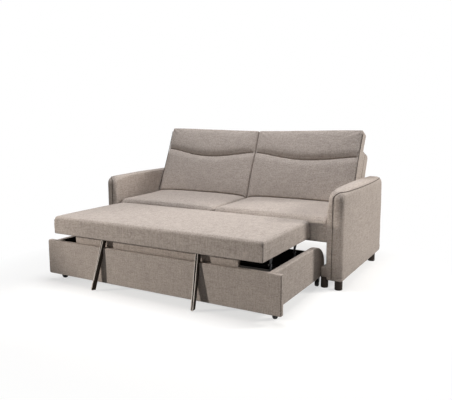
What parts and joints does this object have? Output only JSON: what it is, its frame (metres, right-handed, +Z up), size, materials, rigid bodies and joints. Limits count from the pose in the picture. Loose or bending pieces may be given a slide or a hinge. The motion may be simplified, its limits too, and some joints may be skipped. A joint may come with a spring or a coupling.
{
  "type": "sofa bed",
  "caption": "Upholstered sofa bed with padded arms, leaning back cushions and a pull-out drawer base whose mattress platform rises on parallel lift arms.",
  "frame": {"origin": "on the floor under the middle of the whole object with its drawer pulled out", "axes": "+X to the right of someone facing the sofa, +Y from the drawer front to the back, +Z up"},
  "size_m": [1.9, 1.694, 0.9729],
  "materials": {
    "upholstery": "woven mélange upholstery cloth over padding",
    "cushion_cloth": "woven mélange upholstery cloth over foam",
    "strap_cloth": "folded strap of the same cloth",
    "piping": "self-covered piping along a dark seam",
    "timber": "sawn softwood",
    "plywood": "birch plywood",
    "leg_wood": "dark stained turned wood",
    "nylon": "plain nylon",
    "webbing": "elastic webbing",
    "black_steel": "black powder coat",
    "wheel": "black moulded nylon",
    "pin_steel": "zinc plated"
  },
  "bodies": {
    "sofa": {"left_arm_cover": "upholstery", "right_arm_cover": "upholstery", "left_arm_frame": "timber", "right_arm_frame": "timber", "left_arm_piping": "piping", "right_arm_piping": "piping", "front_left_leg": "leg_wood", "front_right_leg": "leg_wood", "rear_left_leg": "leg_wood", "rear_right_leg": "leg_wood", "left_inner_legs": "leg_wood", "right_inner_legs": "leg_wood", "left_guide_rail": "upholstery", "right_guide_rail": "upholstery", "left_glide_strip": "nylon", "right_glide_strip": "nylon", "seat_deck_frame": "timber", "seat_webbing": "webbing", "left_seat_cushion": "cushion_cloth", "right_seat_cushion": "cushion_cloth", "back_frame": "timber", "back_cover": "upholstery", "left_back_cushion": "cushion_cloth", "right_back_cushion": "cushion_cloth", "left_back_piping": "piping", "right_back_piping": "piping", "rear_panel": "upholstery"},
    "drawer": {"drawer_front": "upholstery", "left_drawer_side": "upholstery", "right_drawer_side": "upholstery", "drawer_back": "upholstery", "drawer_bottom": "plywood", "front_left_caster_fork": "black_steel", "front_right_caster_fork": "black_steel", "rear_left_caster_fork": "black_steel", "rear_right_caster_fork": "black_steel", "caster_axles": "pin_steel", "left_lift_base": "black_steel", "right_lift_base": "black_steel", "lower_pivot_pins": "pin_steel"},
    "rear_lift_arms": {"left_rear_lift_arm": "black_steel", "right_rear_lift_arm": "black_steel", "rear_cross_tube": "black_steel"},
    "front_lift_arms": {"left_front_lift_arm": "black_steel", "right_front_lift_arm": "black_steel", "front_cross_tube": "black_steel"},
    "platform": {"platform_frame": "timber", "platform_board": "plywood", "platform_pad": "cushion_cloth", "riser_board": "upholstery", "left_top_bracket": "black_steel", "right_top_bracket": "black_steel", "upper_pivot_pins": "pin_steel", "left_pull_strap": "strap_cloth", "right_pull_strap": "strap_cloth"},
    "front_left_wheel": {"front_left_wheel": "wheel"},
    "front_right_wheel": {"front_right_wheel": "wheel"},
    "rear_left_wheel": {"rear_left_wheel": "wheel"},
    "rear_right_wheel": {"rear_right_wheel": "wheel"}
  },
  "joints": [
    {"name": "drawer_slide", "type": "slide", "parent": "sofa", "child": "drawer", "axis": [0, -1, 0], "range_m": [-0.07, 0.06]},
    {"name": "rear_lift_pivot", "type": "hinge", "parent": "drawer", "child": "rear_lift_arms", "pos_m": [0, -0.3265, 0.146], "axis": [-1, 0, 0], "range_deg": [0, 95.8], "deforming": ["left_pull_strap", "right_pull_strap"]},
    {"name": "front_lift_pivot", "type": "hinge", "parent": "drawer", "child": "front_lift_arms", "pos_m": [0, -0.6765, 0.146], "axis": [-1, 0, 0], "range_deg": [0, 95.8]},
    {"name": "platform_pivot", "type": "hinge", "parent": "rear_lift_arms", "child": "platform", "pos_m": [0, -0.28096, 0.25648], "axis": [-1, 0, 0], "range_deg": [-95.8, 0]},
    {"name": "front_left_wheel_roll", "type": "hinge", "parent": "drawer", "child": "front_left_wheel", "pos_m": [-0.779, -0.743, 0.024], "axis": [1, 0, 0], "continuous": true},
    {"name": "front_right_wheel_roll", "type": "hinge", "parent": "drawer", "child": "front_right_wheel", "pos_m": [0.779, -0.743, 0.024], "axis": [1, 0, 0], "continuous": true},
    {"name": "rear_left_wheel_roll", "type": "hinge", "parent": "drawer", "child": "rear_left_wheel", "pos_m": [-0.779, -0.102, 0.024], "axis": [1, 0, 0], "continuous": true},
    {"name": "rear_right_wheel_roll", "type": "hinge", "parent": "drawer", "child": "rear_right_wheel", "pos_m": [0.779, -0.102, 0.024], "axis": [1, 0, 0], "continuous": true}
  ],
  "couplings": [
    {"joint": "front_lift_pivot", "follows": "rear_lift_pivot", "ratio": 1},
    {"joint": "platform_pivot", "follows": "rear_lift_pivot", "ratio": -1}
  ]
}
